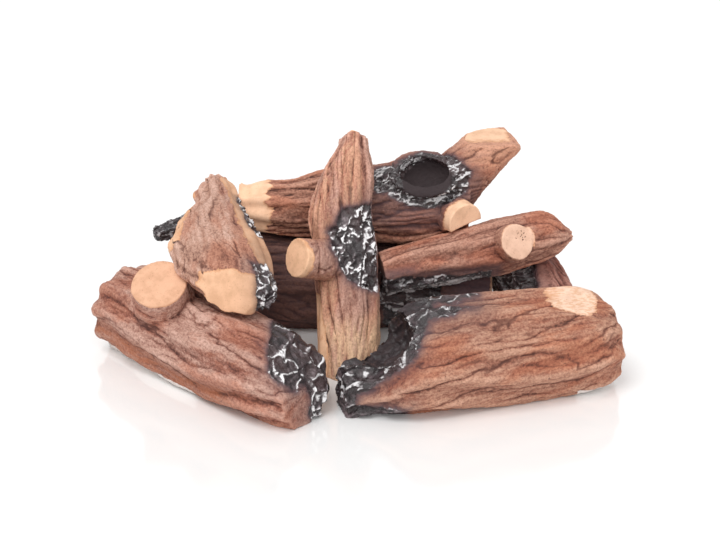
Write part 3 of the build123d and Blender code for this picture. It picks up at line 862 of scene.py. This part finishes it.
# %% [markdown]
# ## Centre branch log
# It stands upright in the middle. Its tip is broken to a point, where the CAD has a flat cut, so
# the corners of that cut are pressed down first. Two grooves run down from the tip, a charred
# patch of crackled plates is let into its right side, and its foot is a pale tan.
# %% Centre branch log
PEAK = 0.0005
centre_branch = Casting("centre_branch_log", "centre_branch", "centre_branch_ceramic",
                        (-0.007, -0.043, -0.010), (-0.006, 0.109, 0.267))
tip_lift = np.clip((centre_branch.along - 0.80) / 0.20, 0, 1)
from_peak = (centre_branch.x - PEAK) * np.where(centre_branch.x < PEAK, -0.75, 0.45)
centre_branch.points -= centre_branch.along_way * (tip_lift * from_peak)[:, None]
stub_skin = centre_branch.beyond((-0.060, -0.004, 0.141), (-0.78, -0.55, 0.29)) / 8
stub_skin -= np.maximum(0, centre_branch.z - 0.152) / 0.012
tip_cut = centre_branch.cut_at((0.0012, 0.1091, 0.2672))
SPLIT_FOOT = [(-46, 88), (-38, 86), (-33, 60), (-29, 30), (-28, -5), (-60, -5)]
split_foot = centre_branch.outlined(SPLIT_FOOT, facing=ALL_ROUND) / 6
press_bark(centre_branch, count=12, valleys=3.0, cracks=1.4, seed=91,
           calm=calm_on(centre_branch, stub_skin, tip_cut, split_foot), lumps=1.0)
cut_line(centre_branch, [(-0.0215, 0.0720, 0.2290), (-0.0170, 0.055, 0.212),
                         (-0.0120, 0.036, 0.192), (-0.0110, 0.030, 0.184)], width=3.2, depth=4.5)
cut_line(centre_branch, [(-0.0290, 0.080, 0.240), (-0.0310, 0.062, 0.222), (-0.0300, 0.052, 0.208)],
         width=2.0, depth=3.0)
BURNT_PATCH = [(-10, 189), (10, 192), (34, 187), (34, 92), (13, 102), (-4, 112), (-12, 126),
               (-18, 146), (-29, 163), (-22, 172)]
patch = centre_branch.outlined(BURNT_PATCH, facing=(-0.2, -1, 0))
press_char(centre_branch, patch + 2 * noise(centre_branch.points / (16 * MM), 25), plate=13, seed=35)
centre_branch.depth += 1.6 * smooth(patch, -2, 2)
# The foot is a pale tan, painted paler still and with its ridges lifted: partly its own colour,
# partly painted light against the shade at the foot.
foot = smooth(0.080 - centre_branch.z, 0.0, 0.035)
centre_branch.marks["stain"] = foot
centre_branch.marks["brushed"] = 0.25 * foot
mark_pale(centre_branch, stub_skin, tip_cut, np.minimum(split_foot, 0.5))
finish_log(centre_branch, log_paint(
    "centre_branch_paint", (98, 56, 46), (166, 118, 100), (200, 154, 136), (182, 130, 108),
    stain=(248, 208, 168), pale=(248, 200, 162), ash_and_highlights=1.3))

# %% [markdown]
# ## Top forked log
# Its deep fissures run level, its left end has lost its bark, and a knot hole with a thick
# charred rim looks out of it below the rising limb. The hole keeps its smooth CAD wall, and
# painted shade alone makes it dark, with a painted highlight on the ash ring around it.
# %% Top forked log
top_fork = Casting("top_fork_log", "top_fork", "fork_log_ceramic",
                   (-0.152, 0.139, 0.150), (0.224, 0.119, 0.196))
limb_cut = top_fork.cut_at((0.1771, 0.1315, 0.2524), 2 * MM, 1.0)
low_cut = top_fork.cut_at((0.1434, 0.0676, 0.1673), margin=1.2)
low_stub = np.minimum(top_fork.beyond((0.136, 0.082, 0.168), (0.48, -0.88, -0.04)) / 8,
                      (0.207 - top_fork.z) / 0.008)
limb_paint = np.min([limb_cut, (top_fork.y - 0.118) / 0.02, (0.203 - top_fork.x) / 0.01], axis=0)
end_cut = top_fork.cut_at((-0.1479, 0.1374, 0.1571))
barkless = (-0.106 - top_fork.x) / 0.010
barkless += 1.3 * rough(top_fork.grain / (np.array([40, 15, 15]) * MM), 27, 3)
press_bark(top_fork, count=17, valleys=4.2, cracks=2.0, seed=111,
           calm=calm_on(top_fork, limb_cut, low_stub, end_cut, barkless), lumps=1.1)
rim = np.maximum(top_fork.blob((0.0974, 0.100, 0.206), (0.054, 0.042, 0.034)),
                 top_fork.blob((0.040, 0.105, 0.208), (0.022, 0.03, 0.018)))
press_char(top_fork, rim + 3 * noise(top_fork.points / (14 * MM), 28), plate=9, seed=36)
hole = top_fork.blob((0.0955, 0.097, 0.2065), (0.033, 0.045, 0.0195))
in_hole = smooth(hole, -2, 3)
ash_ring = 1.3 * np.abs(hole + 6 + 5 * noise(top_fork.points / (8 * MM), 29))
crests = np.minimum(top_fork.marks["crack"], ash_ring)
top_fork.marks["crack"] = np.where(in_hole > 0.3, FAR_AWAY, crests)
# Painted shade in the knot hole: unlit darkens its char and takes away its glints. Below 0 on the ash
# ring, it adds a painted highlight there.
top_fork.marks["unlit"] = in_hole - 0.2 * hump(ash_ring, 1.5)
top_fork.depth *= 1 - 0.8 * in_hole
smoked = top_fork.blob((0.085, 0.095, 0.190), (0.095, 0.07, 0.055))
smoked += 8 * noise(top_fork.points / (24 * MM), 45)
smoke = 0.7 * smooth(smoked, -6, 14) * smooth(0.232 - top_fork.z, 0, 0.012)
top_fork.marks["soot"] = np.maximum(top_fork.marks["soot"], smoke) * (1 - smooth(low_stub, -0.4, 0.2))
top_fork.marks["soot"] += 0.18 * smooth(limb_paint, -0.2, 0.2)
on_limb = smooth(top_fork.x, 0.12, 0.15)
top_fork.marks["stain"] = smooth(top_fork.z, 0.212, 0.226) * on_limb
top_fork.marks["brushed"] = 0.32 * on_limb * smooth(top_fork.z, 0.20, 0.215)
mark_pale(top_fork, limb_paint, low_cut, low_stub, end_cut, np.minimum(barkless, 0.8))
finish_log(top_fork, log_paint(
    "top_fork_paint", (68, 37, 28), (139, 92, 74), (186, 135, 113), (166, 114, 91),
    stain=(224, 166, 136), pale=(252, 206, 171), ash_and_highlights=0.8))

# %% [markdown]
# ## Right branch log
# A slim branch with smooth bark, a pinkish sawn knot with small black pores at its front, and a
# sooty underside where the flames reach it.
# %% Right branch log
right_branch = Casting("right_branch_log", "right_branch", "right_branch_ceramic",
                       (0.038, 0.048, 0.099), (0.283, 0.096, 0.136))
knot_cut = right_branch.cut_at((0.2094, 0.0444, 0.1420), margin=1.2)
press_bark(right_branch, count=9, valleys=2.2, cracks=0.6, seed=131,
           calm=calm_on(right_branch, knot_cut), lumps=1.0)
cut_line(right_branch, [(0.045, 0.030, 0.130), (0.09, 0.030, 0.138), (0.15, 0.035, 0.150)],
         width=1.6, depth=2.0)
below = 111 + 6 * noise(right_branch.points / (30 * MM), 29) - right_branch.z / MM
below = np.minimum(below, (0.192 - right_branch.x) / MM)
press_char(right_branch, below - 13, plate=11, seed=37)
right_branch.marks["soot"] = 0.85 * smooth(below, -7, 7)
pores = smooth(noise(right_branch.points / (2.4 * MM), 46), 0.30, 0.5)
pores = np.clip(pores * right_branch.blob((0.2145, 0.0506, 0.1478), (0.009, 0.009, 0.010)), 0, 1)
right_branch.depth += 1.2 * pores
right_branch.marks["fissure"] = np.maximum(right_branch.marks["fissure"], pores)
clear_way(right_branch, (0, 0, -1))
mark_pale(right_branch, knot_cut)
finish_log(right_branch, log_paint(
    "right_branch_paint", (86, 50, 42), (146, 99, 82), (186, 138, 118), (180, 124, 100),
    stain=(182, 116, 88), pale=(238, 196, 170), ash_and_highlights=0.5))

# %% [markdown]
# ## Rear log
# It carries the others and is mostly hidden in the shade between them, so its browns are painted
# very dark as painted shade. It is heavily sooted, with char where the flames stand in front of it
# and plain sawn ends.
# %% Rear log
rear_base = Casting("rear_base_log", "rear_base", "rear_log_ceramic",
                    (-0.205, 0.135, 0.079), (0.187, 0.137, 0.056))
left_face = rear_base.cut_at((-0.2019, 0.1361, 0.0554))
right_face = rear_base.cut_at((0.1831, 0.1361, 0.0487))
press_bark(rear_base, count=18, valleys=3.8, cracks=1.4, seed=151,
           calm=calm_on(rear_base, left_face, right_face))
front_side = rear_base.beyond((0.0, 0.128, 0.05), (0.0, -1.0, 0.1))
burnt_middle = np.minimum(front_side, 60 - np.abs(rear_base.x / MM - 80))
burnt_middle += 10 * noise(rear_base.points / (40 * MM), 30)
press_char(rear_base, burnt_middle - 20, plate=14, seed=38)
rear_base.marks["soot"] = 0.5 * smooth(front_side, -45, 0) + 0.9 * smooth(rear_base.x, 0.10, 0.17)
mark_pale(rear_base, left_face, right_face)
# Very dark browns: painted shade for a log that lies in the gap behind the others.
finish_log(rear_base, log_paint(
    "rear_base_paint", (40, 20, 14), (86, 52, 39), (124, 82, 64), (92, 54, 38),
    stain=(104, 62, 42), ash_and_highlights=0.45))

# %% [markdown]
# ## The two charred branches
# The thin one at the left is charred all over. The short log at the right is charred only where
# it faces the flames. Its left flank swells towards the rear log, so that no floor shows
# between the two, and stops short of it.
# %% The two charred branches
left_char = Casting("left_char_branch", "left_char", "left_char_ceramic",
                    (-0.261, 0.121, 0.123), (-0.150, 0.137, 0.148))
press_bark(left_char, count=9, valleys=1.2, cracks=0.8, seed=171)
press_char(left_char, np.full(len(left_char.points), 12.0), plate=8, seed=39)
finish_log(left_char, log_paint(
    "left_char_paint", (60, 40, 38), (100, 76, 72), (140, 116, 114), (90, 60, 52), ash_and_highlights=0.5))

FLANK_LIMIT = 0.1865
right_char = Casting("right_char_log", "right_char", "right_char_ceramic",
                     (0.263, 0.079, 0.035), (0.206, 0.161, 0.099))
swollen = 12 * MM * smooth(-right_char.normals[:, 0], 0.0, 0.5)
right_char.x[:] = np.maximum(right_char.x - swollen, np.minimum(right_char.x, FLANK_LIMIT))
press_bark(right_char, count=26, valleys=2.4, cracks=1.2, seed=191)
burnt_left = (0.238 - right_char.x) / MM + 5 * noise(right_char.points / (30 * MM), 42)
press_char(right_char, burnt_left, plate=11, seed=40)
finish_log(right_char, log_paint(
    "right_char_paint", (40, 22, 19), (116, 70, 60), (168, 120, 106), (128, 74, 58),
    stain=(120, 66, 52), ash_and_highlights=0.5))

# %% [markdown]
# ## Studio
# The set stands on glossy white board under soft light. The board stays white around it and
# keeps a faint reflection and the contact shadows, which show that the logs carry their weight.
# %% White board, soft light and the camera
BOARD_HALF = 4.0
BOARD_DROP = 0.2 * MM


def studio_floor():
    """A wide white board with a low gloss, a hair below the logs, so that no two faces coincide."""
    corners = [(x * BOARD_HALF, y * BOARD_HALF, -BOARD_DROP)
               for x, y in ((-1, -1), (1, -1), (1, 1), (-1, 1))]
    mesh = bpy.data.meshes.new("studio_board")
    mesh.from_pydata(corners, [], [(0, 1, 2, 3)])
    board = bpy.data.objects.new("studio_board", mesh)
    bpy.context.collection.objects.link(board)
    material = bpy.data.materials.new("white_board")
    material.use_nodes = True
    surface = material.node_tree.nodes["Principled BSDF"]
    surface.inputs["Base Color"].default_value = (0.99, 0.99, 0.985, 1)
    surface.inputs["Roughness"].default_value = 0.12
    surface.inputs["Specular IOR Level"].default_value = 1.0
    surface.inputs["IOR"].default_value = 1.62
    mesh.materials.append(material)
    board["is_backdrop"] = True


def broad_light(name, come_from, spread, strength):
    """Light from one side, even over the whole board: a sun as wide as a soft box."""
    data = bpy.data.lights.new(name, "SUN")
    data.angle = math.radians(spread)
    data.energy = strength
    light = bpy.data.objects.new(name, data)
    bpy.context.collection.objects.link(light)
    x, y, z = come_from
    light.rotation_euler = (math.atan2(math.hypot(x, y), z), 0, math.atan2(y, x) + math.pi / 2)


def white_room(strength):
    """White all round for the eye and for reflections, softer as a light."""
    world = bpy.data.worlds.new("white_room")
    world.use_nodes = True
    nodes, links = world.node_tree.nodes, world.node_tree.links
    nodes.clear()
    mixed = nodes.new("ShaderNodeMixShader")
    for row, level in ((1, strength), (2, 1.0)):
        white = nodes.new("ShaderNodeBackground")
        white.inputs["Color"].default_value = (1, 1, 1, 1)
        white.inputs["Strength"].default_value = level
        links.new(white.outputs[0], mixed.inputs[row])
    path = nodes.new("ShaderNodeLightPath")
    seen = path.outputs["Is Camera Ray"]
    for ray in ("Is Glossy Ray", "Is Transmission Ray"):
        either = nodes.new("ShaderNodeMath")
        either.operation = "MAXIMUM"
        links.new(seen, either.inputs[0])
        links.new(path.outputs[ray], either.inputs[1])
        seen = either.outputs[0]
    links.new(seen, mixed.inputs[0])
    output = nodes.new("ShaderNodeOutputWorld")
    links.new(mixed.outputs[0], output.inputs[0])
    bpy.context.scene.world = world


studio_floor()
white_room(0.62)
broad_light("key_light", (-0.35, -0.40, 1.0), 35, 1.48)
broad_light("front_light", (0.25, -1.0, 0.55), 50, 0.80)

LOOK_DOWN = math.radians(22)
CAMERA_DISTANCE = 1.6
AIM_X, AIM_Y, AIM_Z = 0.010577, -0.167946, 0.190
camera_data = bpy.data.cameras.new("photo_camera")
camera_data.lens = 72.0
camera_data.sensor_width = 36.0
camera = bpy.data.objects.new("photo_camera", camera_data)
bpy.context.collection.objects.link(camera)
camera.location = (AIM_X, AIM_Y - CAMERA_DISTANCE * math.cos(LOOK_DOWN),
                   AIM_Z + CAMERA_DISTANCE * math.sin(LOOK_DOWN))
camera.rotation_euler = (math.pi / 2 - LOOK_DOWN, 0, 0)
bpy.context.scene.camera = camera
bpy.context.scene.view_settings.view_transform = "Standard"
print("camera at", [round(v, 3) for v in camera.location])

# %% [markdown]
# ## Keep the CAD size
# Most of the skin was pressed inwards, and on the outside of the set it swells by little more
# than a millimetre, so the finished set must fit the box that the CAD gave. Both boxes are
# printed.
# %% Write both boxes and finish
boxes = {"cad": cad_box, "visual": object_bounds()}
for name, box in boxes.items():
    print(name, "box", [[round(v, 4) for v in corner] for corner in box])
